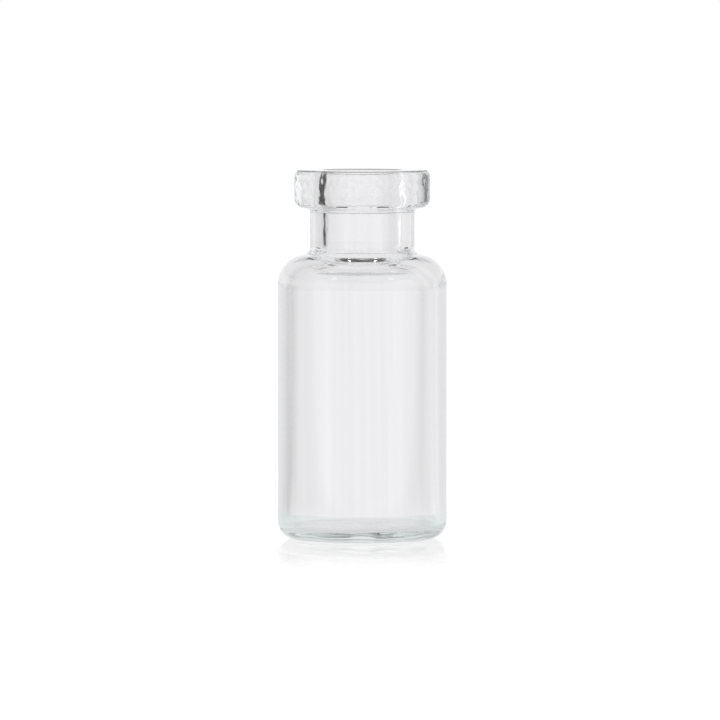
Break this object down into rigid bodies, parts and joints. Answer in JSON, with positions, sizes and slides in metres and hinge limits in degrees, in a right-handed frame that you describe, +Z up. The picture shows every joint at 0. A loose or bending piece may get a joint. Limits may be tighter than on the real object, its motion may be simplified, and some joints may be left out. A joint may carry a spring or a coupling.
{
  "type": "glass sample vial",
  "caption": "Clear glass vial with a straight round body, rounded shoulder, short neck and crimp flange, open at the mouth, for small samples.",
  "frame": {"origin": "centre of the base ring, on the surface that the vial stands on", "axes": "+Z up along the vial's axis, from the base to the mouth; +X and +Y level, all directions round the axis alike"},
  "size_m": [0.016, 0.016, 0.035],
  "materials": {
    "glass": "clear and smooth, faintly green where it is thick"
  },
  "bodies": {
    "root": {"vial": "glass"}
  },
  "joints": []
}
